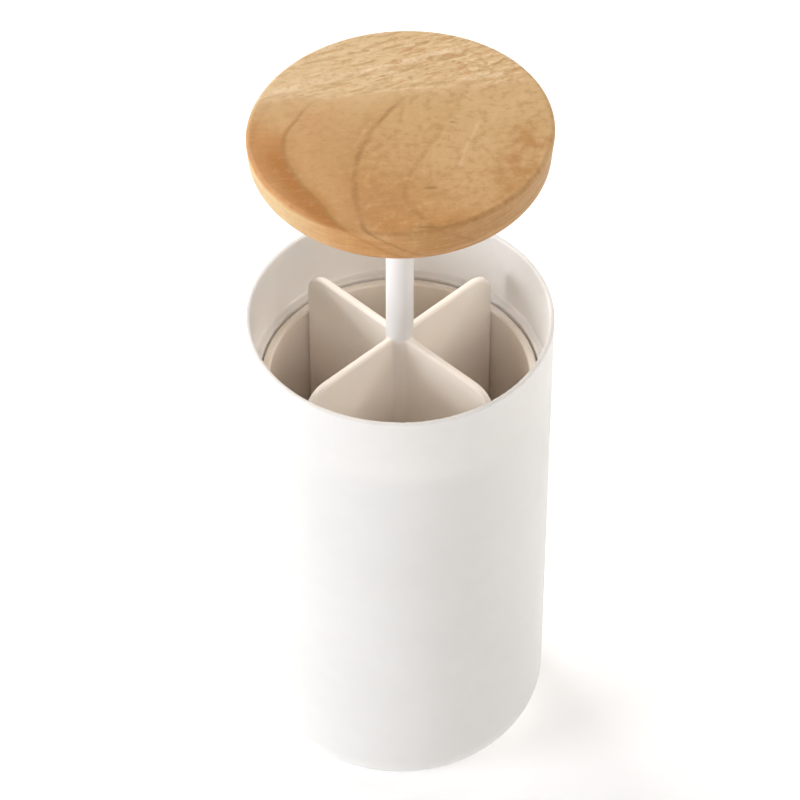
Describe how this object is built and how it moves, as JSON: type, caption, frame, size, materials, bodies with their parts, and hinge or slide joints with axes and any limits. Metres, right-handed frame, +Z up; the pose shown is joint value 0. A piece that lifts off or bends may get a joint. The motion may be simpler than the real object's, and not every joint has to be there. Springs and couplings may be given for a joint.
{
  "type": "toothpick dispenser",
  "caption": "Round cup with a rounded base and inner liner; a wooden lid on a rod lifts and turns a finned divider and tray that present toothpicks at the rim.",
  "frame": {"origin": "centre of the cup's base, on the surface it stands on", "axes": "+Z up along the rod; -Y is the front; +X is the side that the lid's top rises towards"},
  "size_m": [0.065, 0.065, 0.171],
  "materials": {
    "cup_plastic": "satin white",
    "liner_plastic": "satin warm white",
    "divider_plastic": "satin warm white",
    "rod_plastic": "smooth white",
    "lid_wood": "fine sanded, thin clear oil",
    "bush_brass": "plain",
    "fixing_steel": "zinc plated",
    "ring_rubber": "translucent white silicone"
  },
  "bodies": {
    "cup": {"outer_cup": "cup_plastic", "inner_liner": "liner_plastic"},
    "ring": {"friction_ring": "ring_rubber"},
    "insert": {"wooden_lid": "lid_wood", "lid_bush": "bush_brass", "lid_stud": "fixing_steel", "lift_rod": "rod_plastic", "cross_divider": "divider_plastic", "lift_tray": "divider_plastic", "tray_screw": "fixing_steel"}
  },
  "joints": [
    {"name": "lift", "type": "slide", "parent": "cup", "child": "ring", "axis": [0, 0, 1], "range_m": [-0.0465, 0.07]},
    {"name": "turn", "type": "hinge", "parent": "ring", "child": "insert", "pos_m": [0, 0, 0.0585], "axis": [0, 0, 1], "continuous": true}
  ]
}
